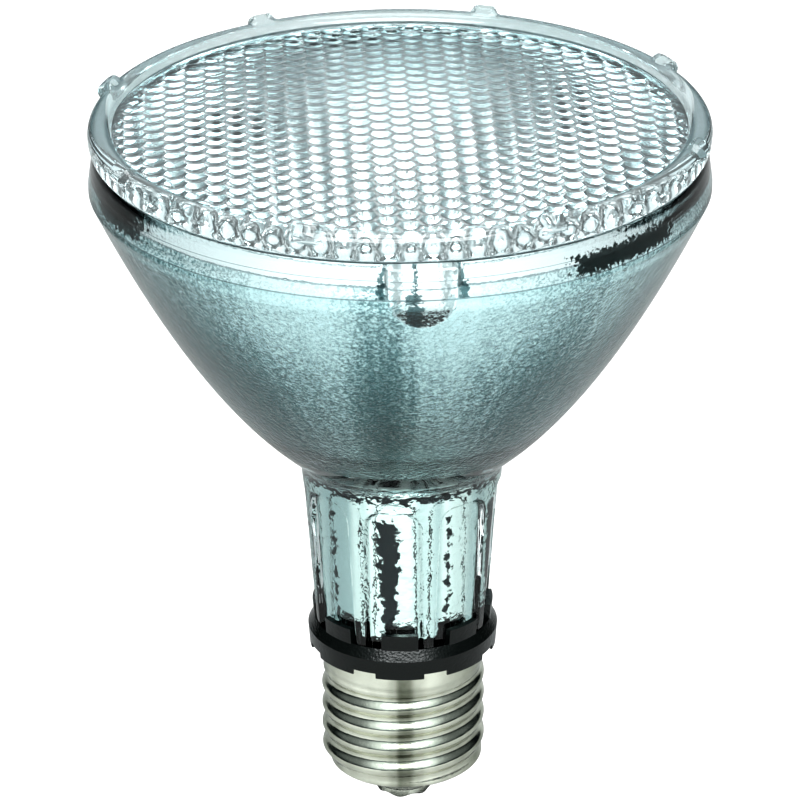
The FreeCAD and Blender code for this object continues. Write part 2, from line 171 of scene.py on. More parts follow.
def nearestCopy(angle, count, turn):
    # angle from the nearest of count copies spread evenly from turn
    share = (angle - turn) * count / fullTurn
    return (share - round(share)) * fullTurn / count


def readMark(tree, name):
    node = tree.nodes.new("GeometryNodeInputNamedAttribute")
    node.data_type = "FLOAT"
    node.inputs["Name"].default_value = name
    return Num(tree, node.outputs["Attribute"])


def movePoints(tree, geometry, position, selection=None):
    node = tree.nodes.new("GeometryNodeSetPosition")
    link(tree, geometry, node.inputs["Geometry"])
    link(tree, position, node.inputs["Position"])
    if selection is not None:
        link(tree, selection, node.inputs["Selection"])
    return node.outputs[0]


def endTree(tree, geometry, end, finishes):
    # realize, then one Set Material for each finish, chosen by the finish mark on the faces
    realize = tree.nodes.new("GeometryNodeRealizeInstances")
    link(tree, geometry, realize.inputs[0])
    geometry = realize.outputs[0]
    for index, material in enumerate(finishes):
        paint = tree.nodes.new("GeometryNodeSetMaterial")
        link(tree, geometry, paint.inputs["Geometry"])
        if len(finishes) > 1:
            link(tree, readMark(tree, "finish").equals(float(index)), paint.inputs["Selection"])
        paint.inputs["Material"].default_value = material
        geometry = paint.outputs[0]
    link(tree, geometry, end[0])


def metresFrom(size, *labels):
    # tree inputs from the sizes of the same name: "Flute Top" from fluteTop
    return {label: mm(size[label[0].lower() + label[1:].replace(" ", "")]) for label in labels}


def shapeWith(piece, makeTree, sizes):
    # runs the tree on the piece and keeps the plain mesh
    tree = makeTree(sizes)
    modifier = piece.modifiers.new(tree.name, "NODES")
    modifier.node_group = tree
    for item in tree.interface.items_tree:
        if item.in_out == "INPUT" and item.name in sizes:
            modifier[item.identifier] = sizes[item.name]
    view = bpy.context.evaluated_depsgraph_get()
    mesh = bpy.data.meshes.new_from_object(piece.evaluated_get(view), depsgraph=view)
    piece.modifiers.clear()
    piece.data = mesh


# Small helpers for meshes

def newObject(name, data):
    piece = bpy.data.objects.new(name, data)
    bpy.context.scene.collection.objects.link(piece)
    return piece


def turnedFaces(profile, columns, closed):
    # ring grid about the axis; a profile spot is (radius, height, finish) in millimetres
    points, faces, marks, rows = [], [], [], []
    for radius, height, _ in profile:
        start = len(points)
        if radius < 1e-6:
            points.append((0, 0, mm(height)))
            rows.append([start] * columns)
            continue
        for column in range(columns):
            angle = fullTurn * column / columns
            points.append((mm(radius) * cos(angle), mm(radius) * sin(angle), mm(height)))
        rows.append(list(range(start, start + columns)))
    pairs = list(zip(rows, rows[1:]))
    if closed:
        pairs.append((rows[-1], rows[0]))
    for (low, high), spot in zip(pairs, profile):
        for column in range(columns):
            after = (column + 1) % columns
            faces.append(list(dict.fromkeys((low[column], low[after], high[after], high[column]))))
            marks.append(float(spot[2]))
    return points, faces, marks


def meshFrom(name, points, faces, marks):
    mesh = bpy.data.meshes.new(name)
    mesh.from_pydata(points, [], faces)
    addFaceMark(mesh, "finish", marks)
    mesh.update()
    return mesh


def addFaceMark(mesh, name, values):
    mesh.attributes.new(name, "FLOAT", "FACE").data.foreach_set("value", values)


def smoothFaces(piece, sharpAngle):
    piece.data.shade_smooth()
    piece.data.set_sharp_from_angle(angle=radians(sharpAngle))


def stretch(start, end, steps, finish=0):
    # spots from start up to, not including, end
    return [(start[0] + (end[0] - start[0]) * i / steps, start[1] + (end[1] - start[1]) * i / steps, finish)
            for i in range(steps)]


def arcSpots(centre, radius, startAngle, endAngle, steps, finish=0):
    spots = []
    for i in range(steps):
        turn = radians(startAngle + (endAngle - startAngle) * i / steps)
        spots.append((centre[0] + radius * cos(turn), centre[1] + radius * sin(turn), finish))
    return spots


# Shared shader effects

def addNoise(tree, vector, scale, detail=2.0):
    noise = tree.nodes.new("ShaderNodeTexNoise")
    for name, value in (("Vector", vector), ("Scale", scale), ("Detail", detail)):
        link(tree, value, noise.inputs[name])
    return Num(tree, noise.outputs["Fac"])


def makeGrain():
    # fine pressed stipple: two sizes of noise as one height, with its own colour mask
    tree, start, end = newEffect("fineStipple", {"Fine Scale": 1500.0, "Coarse Scale": 500.0, "Coarse Share": 0.4},
                                 ["Height", "Mask"])
    place = tree.nodes.new("ShaderNodeTexCoord").outputs["Object"]
    fine = addNoise(tree, place, start["Fine Scale"])
    coarse = addNoise(tree, place, start["Coarse Scale"])
    link(tree, fine + coarse * start["Coarse Share"], end["Height"])
    link(tree, fine, end["Mask"])
    return tree


def makeMottle():
    # slow unevenness, as in pressed glass or plated sheet
    tree, start, end = newEffect("slowMottle", {"Scale": 60.0, "Low": 0.0, "High": 1.0}, ["Value"])
    place = tree.nodes.new("ShaderNodeTexCoord").outputs["Object"]
    noise = addNoise(tree, place, start["Scale"], 3.0)
    link(tree, smoothRange(noise, 0.3, 0.7, start["Low"], start["High"]), end["Value"])
    return tree


def makeStreaks():
    # streaks down a turned piece: noise on the direction from the axis, so that it has no seam
    tree, start, end = newEffect("flowStreaks", {"Around": 5.0, "Along": 10.0, "Shift": 0.0, "Low": 0.0, "High": 1.0},
                                 ["Value"])
    x, y, z = objectParts(tree)
    radius = distanceOf(x, y).max(0.00001)
    place = joinParts(x / radius * start["Around"], y / radius * start["Around"], z * start["Along"] + start["Shift"])
    noise = addNoise(tree, place, 1.0)
    link(tree, smoothRange(noise, 0.35, 0.65, start["Low"], start["High"]), end["Value"])
    return tree


fineStipple = makeGrain()
slowMottle = makeMottle()
flowStreaks = makeStreaks()


def newFinish(name):
    material = bpy.data.materials.new(name)
    material.use_nodes = True
    tree = material.node_tree
    return material, tree, tree.nodes["Principled BSDF"]


def setInputs(node, values):
    for label, value in values.items():
        node.inputs[label].default_value = value


def placeGroup(tree, group, values):
    node = tree.nodes.new("ShaderNodeGroup")
    node.node_tree = group
    setInputs(node, values)
    return {socket.name: Num(tree, socket) for socket in node.outputs}


def placeStipple(tree, fineScale, coarseScale, coarseShare):
    return placeGroup(tree, fineStipple, {"Fine Scale": fineScale, "Coarse Scale": coarseScale,
                                          "Coarse Share": coarseShare})


def addBump(tree, shader, height, strength, distance):
    bump = tree.nodes.new("ShaderNodeBump")
    setInputs(bump, {"Strength": strength, "Distance": distance})
    link(tree, height, bump.inputs["Height"])
    link(tree, bump.outputs[0], shader.inputs["Normal"])


def mixColours(tree, factor, first, second):
    mix = tree.nodes.new("ShaderNodeMix")
    mix.data_type = "RGBA"
    link(tree, factor, mix.inputs[0])
    for socket, colour in ((mix.inputs[6], first), (mix.inputs[7], second)):
        link(tree, (*colour, 1) if isinstance(colour, tuple) else colour, socket)
    return mix.outputs[2]


def tintBetween(tree, shader, factor, dark, light):
    link(tree, mixColours(tree, factor, dark, light), shader.inputs["Base Color"])


def setGlass(shader, roughness=0.0):
    setInputs(shader, {"Transmission Weight": 1.0, "Roughness": roughness, "IOR": 1.5})


def setMirror(shader, roughness):
    setInputs(shader, {"Metallic": 1.0, "Roughness": roughness})


def glassFinish(name, dark, light, roughness, bumpStrength, bumpDistance, fineScale, coarseScale, coarseShare):
    material, tree, shader = newFinish(name)
    grain = placeStipple(tree, fineScale, coarseScale, coarseShare)
    mottle = placeGroup(tree, slowMottle, {"Scale": 45.0})
    tintBetween(tree, shader, mottle["Value"], dark, light)
    setGlass(shader, roughness)
    addBump(tree, shader, grain["Height"], bumpStrength, bumpDistance)
    return material


def metalFinish(name, dark, light, roughLow, roughHigh, bumpStrength, bumpDistance, scale, reflectionStops=None):
    material, tree, shader = newFinish(name)
    mottle = placeGroup(tree, slowMottle, {"Scale": scale})
    shade = mottle["Value"]
    # when given, painted reflections change the brightness round the axis
    if reflectionStops:
        x, y, _ = objectParts(tree)
        speck = shade * 0.24 - 0.12
        shade = calc(tree, "ADD", roundRamp(aroundAxis(x, y)[1], reflectionStops), speck, clamp=True)
    tintBetween(tree, shader, shade, dark, light)
    rough = placeGroup(tree, slowMottle, {"Scale": scale * 2.3, "Low": roughLow, "High": roughHigh})
    link(tree, rough["Value"], shader.inputs["Roughness"])
    setInputs(shader, {"Metallic": 1.0})
    grain = placeStipple(tree, scale * 6, scale, 1.0)
    addBump(tree, shader, grain["Height"], bumpStrength, bumpDistance)
    return material


def solidFinish(name, dark, light, roughLow, roughHigh, bumpStrength, bumpDistance, scale, coat=0.0):
    material, tree, shader = newFinish(name)
    grain = placeStipple(tree, scale * 4, scale, 0.6)
    tintBetween(tree, shader, grain["Mask"], dark, light)
    rough = placeGroup(tree, slowMottle, {"Scale": scale / 3, "Low": roughLow, "High": roughHigh})
    link(tree, rough["Value"], shader.inputs["Roughness"])
    setInputs(shader, {"Coat Weight": coat})
    addBump(tree, shader, grain["Height"], bumpStrength, bumpDistance)
    return material


# in the finishes, stipple is fine scale, coarse scale and coarse share; bump is strength and depth
stippleSizes = {
    "stipple": (2100.0, 900.0, 0.8), "grain": 0.45, "narrow": 0.14,
    "dimLow": 85.0, "dimHigh": 104.0, "dim": -0.30, "paintedTopLight": 0.26, "footLow": 67.0, "footHigh": 82.0,
    "paintedFootLight": 0.34, "dark": (0.05, 0.14, 0.15), "light": (0.68, 0.88, 0.89), "roughness": 0.06,
    "bump": (0.8, 0.0001), "specular": 0.18, "streakDepth": 0.55, "footBump": 2.6,
}
# painted reflections: brightness of the glass round the bowl, direction in degrees, brightness
bowlPaintedReflections = [(-168, 0.06), (-148, 0.20), (-134, 0.26), (-124, 0.50), (-115, 0.84), (-106, 0.84), (-100, 0.60),
               (-95, 0.24), (-92, 0.26), (-88, 0.56), (-84, 0.90), (-76, 0.90), (-68, 0.74), (-62, 0.50),
               (-56, 0.28), (-50, 0.40), (-44, 0.64), (-34, 0.55), (-10, 0.36), (25, 0.66), (50, 0.40),
               (78, 0.74), (96, 0.34), (120, 0.70), (150, 0.42)]


def roundRamp(angle, stops):
    # a brightness that changes round the axis, the same at both ends
    ramp = angle.tree.nodes.new("ShaderNodeValToRGB")
    link(angle.tree, angle / fullTurn + 0.5, ramp.inputs[0])
    ends = (stops[0][1] + stops[-1][1]) / 2
    ramp.color_ramp.interpolation = "EASE"
    for element in ramp.color_ramp.elements:
        element.color = (ends, ends, ends, 1)
    for direction, value in stops:
        ramp.color_ramp.elements.new(direction / 360 + 0.5).color = (value, value, value, 1)
    return Num(angle.tree, ramp.outputs[0])


def makeStippledGlass():
    # the colour gathers the grain, painted reflection streaks round the bowl, and painted shade and light by height
    size = stippleSizes
    material, tree, shader = newFinish("stippledGlass")
    grain = placeStipple(tree, *size["stipple"])
    narrow = placeGroup(tree, flowStreaks, {"Around": 20.0, "Along": 9.0, "Shift": 8.0, "Low": -size["narrow"],
                                            "High": size["narrow"]})
    x, y, z = objectParts(tree)
    # painted reflections: lighter and darker streaks round the bowl
    paintedReflectionStreaks = (roundRamp(aroundAxis(x, y)[1], bowlPaintedReflections) - 0.5) * (size["streakDepth"] * 2)
    # painted shade and light by height: darker below the middle, lighter at the top and at the foot
    shade = overMm(z, size["dimLow"], size["dimHigh"], size["dim"], size["paintedTopLight"])
    foot = overMm(z, size["footLow"], size["footHigh"], size["paintedFootLight"], 0.0)
    speck = smoothRange(grain["Mask"], 0.39, 0.61, 0.5 - size["grain"], 0.5 + size["grain"])
    total = calc(tree, "ADD", speck + (shade + foot), paintedReflectionStreaks + narrow["Value"], clamp=True)
    tintBetween(tree, shader, total, size["dark"], size["light"])
    setGlass(shader, size["roughness"])
    setInputs(shader, {"Specular IOR Level": size["specular"]})
    rough = overMm(z, size["footLow"], size["footHigh"], size["footBump"], 1.0)
    addBump(tree, shader, grain["Height"] * rough, *size["bump"])
    return material


neckCoatSizes = {
    "count": 8, "turn": -100.3, "wide": 8.5, "narrow": 1.2, "wiggle": 10.0, "soft": 0.02,
    "foot": 30.0, "top": 50.0, "footWidth": 0.4, "streakTop": 55.3, "shadeRingLow": 58.6, "shadeRingHigh": 60.2,
    "shadeFootTop": 33.2, "dark": (0.012, 0.02, 0.022), "light": (0.80, 0.92, 0.88), "shadow": (0.20, 0.33, 0.34),
    "stipple": (900.0, 190.0, 1.2), "bump": (0.5, 0.0003), "roughness": 0.04,
}
# painted reflections: brightness of the coat round the neck, direction in degrees, brightness
neckPaintedReflections = [(-170, 0.45), (-140, 0.30), (-131, 0.35), (-124, 0.85), (-118, 0.70), (-113, 1.0), (-95, 0.95),
               (-86, 1.0), (-78, 0.62), (-70, 0.72), (-64, 0.50), (-58, 1.0), (-42, 0.85), (-32, 0.45), (0, 0.7),
               (40, 0.4), (70, 0.9), (100, 0.6), (130, 0.9), (155, 0.4)]


def makeNeckCoat():
    # mirror coat in the neck: rippled, with painted dark reflection streaks that run down behind the flutes, a painted
    # dark ring near the cove and painted shade at the foot
    size = neckCoatSizes
    material, tree, shader = newFinish("neckCoat")
    x, y, z = objectParts(tree)
    angle = aroundAxis(x, y)[1]
    ripple = placeStipple(tree, *size["stipple"])
    wiggle = (ripple["Mask"] - 0.5) * (2 * radians(size["wiggle"]))
    turn = radians(size["turn"])
    across = abs(nearestCopy(angle, float(size["count"]), turn))
    share = (((angle - turn) * (size["count"] / 2)).cos() * 0.5 + 0.5) ** 2.0
    width = share * radians(size["wide"] - size["narrow"]) + radians(size["narrow"])
    taper = overMm(z, size["foot"], size["top"], size["footWidth"], 1.0)
    # painted dark reflection streaks behind the flutes, narrower at the foot
    edge = across - width * taper + wiggle
    above = stepAt(wiggle * 0.008 + z, size["streakTop"], 0.6, 0.0, 0.4)
    outsidePaintedShade = smoothRange(edge + above, -size["soft"], size["soft"])
    uneven = (ripple["Mask"] - 0.5) * 0.006 + z
    # a painted dark ring near the cove and painted shade below the foot band
    ring = stepAt(uneven, size["shadeRingLow"], 0.2) - stepAt(uneven, size["shadeRingHigh"], 0.2)
    outsidePaintedShade = outsidePaintedShade * ((1.0 - ring) * stepAt(uneven, size["shadeFootTop"], 0.3))
    paintedReflectionTone = mixColours(tree, roundRamp(angle, neckPaintedReflections), size["shadow"], size["light"])
    tintBetween(tree, shader, outsidePaintedShade, size["dark"], paintedReflectionTone)
    setMirror(shader, size["roughness"])
    addBump(tree, shader, ripple["Height"], *size["bump"])
    return material


mirrorCoatSizes = {
    "dark": (0.015, 0.03, 0.03), "light": (0.86, 0.92, 0.93), "roughness": 0.04,
    "stipple": (1500.0, 90.0, 1.0), "bump": (0.08, 0.0002), "soft": 0.6, "wiggle": 3.4,
}
# painted dark reflections on the coat: direction and half width in degrees, low and high in millimetres, strength
coatPaintedDarkPatches = [(-43, 14, 107.3, 111.3, 1.0), (-156, 10, 107.6, 113.6, 0.9), (20, 9, 108.0, 110.4, 1.0),
               (128, 12, 108.0, 111.5, 0.9)]


def makeMirrorCoat():
    # mirror coat of the bowl, with a few painted dark reflection patches behind the rim band
    size = mirrorCoatSizes
    material, tree, shader = newFinish("mirrorCoat")
    x, y, z = objectParts(tree)
    angle = aroundAxis(x, y)[1]
    grain = placeStipple(tree, *size["stipple"])
    wiggle = grain["Mask"] - 0.5
    height = wiggle * mm(size["wiggle"]) + z
    paintedDark, soft = 0.0, size["soft"]
    # each patch darkens the coat: painted dark reflections
    for turn, halfWidth, low, high, strength in coatPaintedDarkPatches:
        across = wiggle * radians(size["wiggle"] * 4) + abs(angle - radians(turn))
        patch = smoothRange(across, radians(halfWidth), radians(halfWidth - 1.5), 0.0, strength)
        patch = patch * overMm(height, low, low + soft)
        patch = patch * overMm(height, high, high - soft)
        paintedDark = patch.max(paintedDark)
    tintBetween(tree, shader, paintedDark, size["light"], size["dark"])
    setMirror(shader, size["roughness"])
    addBump(tree, shader, grain["Height"], *size["bump"])
    return material


padSizes = {
    "count": 3, "turn": -86.1, "radius": 5.4, "middle": 108.906, "outline": 0.35, "side": 3.9, "sideWidth": 0.8,
    "line": -1.1, "lineWidth": 0.22, "blob": -1.2, "blobWidth": 1.7, "blobLow": 103.9, "blobHigh": 107.4,
    "beside": 6.2, "besideWidth": 0.9, "besideLow": 108.0, "besideHigh": 111.0, "wiggle": 2.6,
    "stipple": (1300.0, 500.0, 0.6), "dark": (0.02, 0.05, 0.055), "light": (0.93, 0.985, 0.98),
}


def makePadGlass():
    # polished pad with painted shade: dark outline, uneven darker sides, a thin dark line, a dark place near its foot
    # and dark stripes beside it
    size = padSizes
    material, tree, shader = newFinish("padGlass")
    x, y, z = objectParts(tree)
    radius, angle = aroundAxis(x, y)
    grain = placeStipple(tree, *size["stipple"])
    wiggle = grain["Mask"] - 0.5
    plain = nearestCopy(angle, float(size["count"]), radians(size["turn"])) * radius
    across = wiggle * mm(size["wiggle"]) + plain
    height = wiggle * mm(size["wiggle"]) + z
    below = (z - mm(size["middle"])).min(0.0)
    rim = abs(distanceOf(plain, below) - mm(size["radius"]))
    marks = [overMm(rim, size["outline"], size["outline"] * 0.4, 0.0, 0.85)]

    def stripe(value, middle, halfWidth, strength):
        off = abs(value - mm(middle))
        return overMm(off, halfWidth, halfWidth * 0.6, 0.0, strength)

    def between(low, high):
        return stepAt(height, low, 0.2) * stepAt(height, high, -0.2)

    above = overMm(z, size["blobHigh"] - 1, size["blobHigh"])
    marks += [stripe(abs(across), size["side"], size["sideWidth"], 0.6),
              stripe(across, size["line"], size["lineWidth"], 1.0) * above,
              stripe(across, size["blob"], size["blobWidth"], 1.0) * between(size["blobLow"], size["blobHigh"]),
              stripe(abs(across), size["beside"], size["besideWidth"], 1.0)
              * between(size["besideLow"], size["besideHigh"])]
    # all these marks are painted shade along the pad's edges
    shade = marks[0]
    for mark in marks[1:]:
        shade = shade.max(mark)
    tintBetween(tree, shader, shade, size["light"], size["dark"])
    setGlass(shader)
    return material


stippledGlass = makeStippledGlass()
mirrorCoat = makeMirrorCoat()
padGlass = makePadGlass()
neckCoat = makeNeckCoat()
clearGlass = glassFinish("clearGlass", (0.90, 0.97, 0.975), (0.93, 0.985, 0.99), 0.0, 0.12, 0.0002,
                         160.0, 60.0, 1.0)
# dark glass for the thin grooves at the band's foot and crease: painted shade
shadeLineGlass = glassFinish("shadeLineGlass", (0.10, 0.15, 0.16), (0.25, 0.32, 0.33), 0.1, 0.2, 0.0001, 900.0, 300.0, 1.0)
beadGlass = glassFinish("beadGlass", (0.80, 0.92, 0.93), (0.90, 0.97, 0.98), 0.02, 0.15, 0.0002, 260.0, 90.0, 1.0)
beadGlass.node_tree.nodes["Principled BSDF"].inputs["Transmission Weight"].default_value = 0.87
print("glass and mirror finishes made")

# Reflector: pressed glass with the mirror coat on its inner face. Sizes in millimetres.
reflectorSizes = {
    "footHeight": 30.0, "footRadius": 13.95, "neckRadius": 16.15, "boreFoot": 11.4, "boreTop": 12.0,
    "focus": 11.25, "vertex": 55.404, "mirrorVertex": 61.304, "radius": 48.5, "land": 0.9,
    "creaseRadius": 48.1, "creaseHeight": 111.506, "rimHeight": 114.006, "rimRadius": 47.4, "rimBore": 45.3,
    "coveLow": 58.9, "coveHigh": 62.5, "stippleFoot": 66.8,
    "fluteCount": 8, "fluteTurn": -95.7, "fluteAngle": 36.5, "fluteDepth": 0.9, "fluteTop": 57.8,
    "fluteCorner": 3.0, "fluteEdge": 0.7,
    "padCount": 3, "padTurn": -86.1, "padRadius": 5.4, "padBottom": 103.506, "padTop": 112.906,
    "padEdge": 0.5, "padBeside": 1.8, "innerLimit": 12.6, "bandFoot": 108.6,
    "lineWidth": 0.4, "lineDepth": 0.06, "columns": 480,
}


def bowlRadius(height, vertex):
    return sqrt(4 * reflectorSizes["focus"] * (height - vertex))


def bowlHeight(radius, vertex):
    return vertex + radius ** 2 / (4 * reflectorSizes["focus"])


def reflectorProfile():
    size = reflectorSizes
    clear, stipple, coat, shadeLine, neckSide = 0, 1, 2, 3, 4
    neckTop = bowlHeight(size["neckRadius"], size["vertex"])
    neckShare = (size["coveLow"] - size["footHeight"]) / (neckTop - size["footHeight"])
    coveStart = (size["footRadius"] + neckShare * (size["neckRadius"] - size["footRadius"]), size["coveLow"])
    coveEnd = (bowlRadius(size["coveHigh"], size["vertex"]), size["coveHigh"])
    spots = stretch((size["footRadius"], size["footHeight"]), coveStart, 80, clear)
    steps = 14
    for i in range(steps):
        t = i / steps
        radius = (1 - t) ** 2 * coveStart[0] + 2 * t * (1 - t) * size["neckRadius"] + t * t * coveEnd[0]
        height = (1 - t) ** 2 * coveStart[1] + 2 * t * (1 - t) * neckTop + t * t * coveEnd[1]
        spots.append((radius, height, clear))
    bowlTop = bowlHeight(size["radius"], size["vertex"])
    padFoot = bowlRadius(size["padBottom"] - 0.6, size["vertex"])
    stippleStart = bowlRadius(size["stippleFoot"], size["vertex"])
    for low, high, count, finish in ((coveEnd[0], stippleStart, 6, clear), (stippleStart, padFoot, 26, stipple),
                                     (padFoot, size["radius"], 26, stipple)):
        for i in range(count):
            radius = low + (high - low) * i / count
            spots.append((radius, bowlHeight(radius, size["vertex"]), finish))
    bandFoot = bowlTop + size["land"]
    line, outer, rim, rimTop, bore = [size[name] for name in ("lineWidth", "radius", "rimRadius", "rimHeight",
                                                              "rimBore")]
    crease = (size["creaseRadius"], size["creaseHeight"])
    lean = (outer - crease[0]) / (crease[1] - bandFoot)
    spots += stretch((outer, bowlTop), (outer, bandFoot - line), 2, stipple)
    # small grooves with a dark finish: painted shade in the crease
    spots.append((outer - size["lineDepth"], bandFoot - line * 0.7, shadeLine))
    spots.append((outer - size["lineDepth"], bandFoot - line * 0.1, clear))
    spots += stretch((outer, bandFoot), (crease[0] + lean * line, crease[1] - line), 6, clear)
    spots.append((crease[0], crease[1] - line * 0.3, shadeLine))
    spots += stretch(crease, (rim + line, rimTop - line), 6, clear)
    spots += [(rim + line * 0.4, rimTop - line * 0.2, clear), (rim, rimTop, clear)]
    mirrorTop = bowlHeight(bore, size["mirrorVertex"])
    spots += stretch((bore, rimTop), (bore, mirrorTop), 4, coat)
    mirrorSteps = 44
    for i in range(mirrorSteps):
        radius = bore + (size["boreTop"] - bore) * i / mirrorSteps
        spots.append((radius, bowlHeight(radius, size["mirrorVertex"]), coat))
    throat = bowlHeight(size["boreTop"], size["mirrorVertex"])
    spots += stretch((size["boreTop"], throat), (size["boreFoot"], size["footHeight"]), 20, neckSide)
    spots.append((size["boreFoot"], size["footHeight"], clear))
    return spots


def makeFluteTree(sizes):
    tree, start, end = newShapeTree("fluteAndPadTree", sizes)
    x, y, z = positionParts(tree)
    radius, angle = aroundAxis(x, y)
    # how far a spot lies inside the round-cornered outline of the nearest flute
    across = nearestCopy(angle, start["Flute Count"], start["Flute Turn"]) * radius
    inner = start["Flute Half Width"] - start["Flute Corner"]
    beside = (abs(across) - inner).max(0.0)
    above = (z - (start["Flute Top"] - start["Flute Corner"])).max(0.0)
    inside = start["Flute Corner"] - distanceOf(beside, above)
    sink = smoothRange(inside, 0.0, start["Flute Edge"]) * start["Flute Depth"]
    # the nearest pad: round foot, straight sides up to just under the rim
    across = nearestCopy(angle, start["Pad Count"], start["Pad Turn"]) * radius
    below = (z - start["Pad Height"]).min(0.0)
    inside = start["Pad Radius"] - distanceOf(across, below)
    rise = (start["Pad Face"] - radius).max(0.0) * smoothRange(inside, 0.0, start["Pad Edge"])
    rise = rise * overMm(start["Pad Top"] - z, -1.0, 0.0)
    outer = (1.0 - readMark(tree, "coat").equals(1.0)) * (radius > start["Inner Limit"])
    moved = movePoints(tree, start["Geometry"], placeAt(radius - sink + rise, angle, z), outer)
    endTree(tree, moved, end, [clearGlass, stippledGlass, mirrorCoat, shadeLineGlass, neckCoat, padGlass])
    return tree


def onPad(points, face):
    # pads are polished and have a finish of their own
    size = reflectorSizes
    middle = [sum(points[index][axis] for index in face) / len(face) * 1000 for axis in range(3)]
    share = (degrees(atan2(middle[1], middle[0])) - size["padTurn"]) * size["padCount"] / 360
    radius = hypot(middle[0], middle[1])
    across = abs(radians((share - round(share)) * 360 / size["padCount"]) * radius)
    below = min(0, middle[2] - size["padBottom"] - size["padRadius"])
    onFace = hypot(across, below) < size["padRadius"] - size["padEdge"] / 2
    onBand = across < size["padRadius"] + size["padBeside"] and middle[2] > size["bandFoot"]
    return onFace and middle[2] > size["padBottom"] - 1 or onBand and middle[2] < size["rimHeight"] - 0.5


def makeReflector():
    size = reflectorSizes
    points, faces, marks = turnedFaces(reflectorProfile(), size["columns"], True)
    marks = [5.0 if mark in (0, 1) and onPad(points, face) else mark for mark, face in zip(marks, faces)]
    mesh = meshFrom("reflectorGlass", points, faces, marks)
    addFaceMark(mesh, "coat", [float(mark in (2, 4)) for mark in marks])
    piece = newObject("reflectorGlass", mesh)
    middle = (size["footRadius"] + size["neckRadius"]) / 2
    halfWidth = middle * radians(size["fluteAngle"]) / 2
    shapeWith(piece, makeFluteTree, {
        **metresFrom(size, "Flute Top", "Flute Corner", "Flute Depth", "Flute Edge", "Pad Radius", "Pad Top",
                     "Pad Edge", "Inner Limit"),
        "Flute Count": float(size["fluteCount"]), "Flute Turn": radians(size["fluteTurn"]),
        "Flute Half Width": mm(halfWidth), "Pad Count": float(size["padCount"]),
        "Pad Turn": radians(size["padTurn"]), "Pad Height": mm(size["padBottom"] + size["padRadius"]),
        "Pad Face": mm(size["radius"]),
    })
    smoothFaces(piece, 40)
    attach(piece, root)
    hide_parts("reflector_body")
    return piece


reflector = makeReflector()
print("reflector made with", len(reflector.data.polygons), "faces")

# Front lens: clear outer dome and bead, six-sided lenslets on the inner face. Sizes in millimetres.
lensSizes = {
    "seat": 114.256, "widest": 48.4, "beadRadius": 1.95, "beadHeight": 2.45, "fieldAngle": 160.0,
    "dome": 2.4, "thickness": 3.0, "spigotRadius": 45.2, "spigotWall": 0.9, "spigotDepth": 1.3,
    "skirtRadius": 47.55, "nubCount": 8, "nubTurn": 28.0, "nubHeight": 1.2, "nubHalfWidth": 2.0,
    "nubLean": 50.0, "nubReach": 62.0, "nubFull": 18.0, "nubSoftOut": 0.3, "nubSoftIn": 0.5, "cellMargin": 0.3,
    "pitch": 3.3, "columnStep": 3.15, "latticeTurn": 2.0, "lensletRadius": 2.8, "edgeFade": 1.6,
    "rings": 4, "columns": 480,
}


def nearestCell(u, v, pitch, twoColumns):
    # squared distance to the nearest cell centre of the six-sided pattern, which is two square ones
    squares = []
    for shift in (0.0, 0.5):
        column, row = u / twoColumns - shift, v / pitch - shift
        across, along = (column - round(column)) * twoColumns, (row - round(row)) * pitch
        squares.append(across * across + along * along)
    return squares[0].min(squares[1])


lensletShade = {
    "shift": -0.65, "inner": 0.60, "outer": 1.05, "everywhere": 0.40,
    "dark": (0.0001, 0.0003, 0.0003), "light": (0.94, 0.985, 0.99), "bump": (0.03, 0.0001),
    "stipple": (400.0, 120.0, 1.0),
}
# where the painted shade over the lenslets is deepest: centre and reach in millimetres
shadePatches = [(-26.0, -5.0, 14.0, 17.0), (27.0, 2.0, 10.0, 24.0), (-10.0, 33.0, 18.0, 7.0)]


def makeFieldGlass():
    # clear glass with a painted shade over each lenslet, deeper in a few places
    size, shade = lensSizes, lensletShade
    material, tree, shader = newFinish("fieldGlass")
    x, y, _ = objectParts(tree)
    turn = radians(size["latticeTurn"])
    u = x * cos(turn) + y * sin(turn)
    v = y * cos(turn) - x * sin(turn) - mm(shade["shift"])
    near = nearestCell(u, v, mm(size["pitch"]), mm(size["columnStep"] * 2)).sqrt()
    spot = overMm(near, shade["outer"], shade["inner"])
    depth = shade["everywhere"]
    for middleX, middleY, reachX, reachY in shadePatches:
        away = distanceOf((x - mm(middleX)) / mm(reachX), (y - mm(middleY)) / mm(reachY))
        depth = smoothRange(away, 1.15, 0.35).max(depth)
    tintBetween(tree, shader, spot * depth, shade["light"], shade["dark"])
    setGlass(shader)
    grain = placeStipple(tree, *shade["stipple"])
    addBump(tree, shader, grain["Height"], *shade["bump"])
    return material


fieldGlass = makeFieldGlass()


def domeHeight(radius, edgeRadius, edgeHeight, rise):
    ball = (edgeRadius ** 2 + rise ** 2) / (2 * rise)
    return edgeHeight + rise - ball + sqrt(ball ** 2 - radius ** 2)


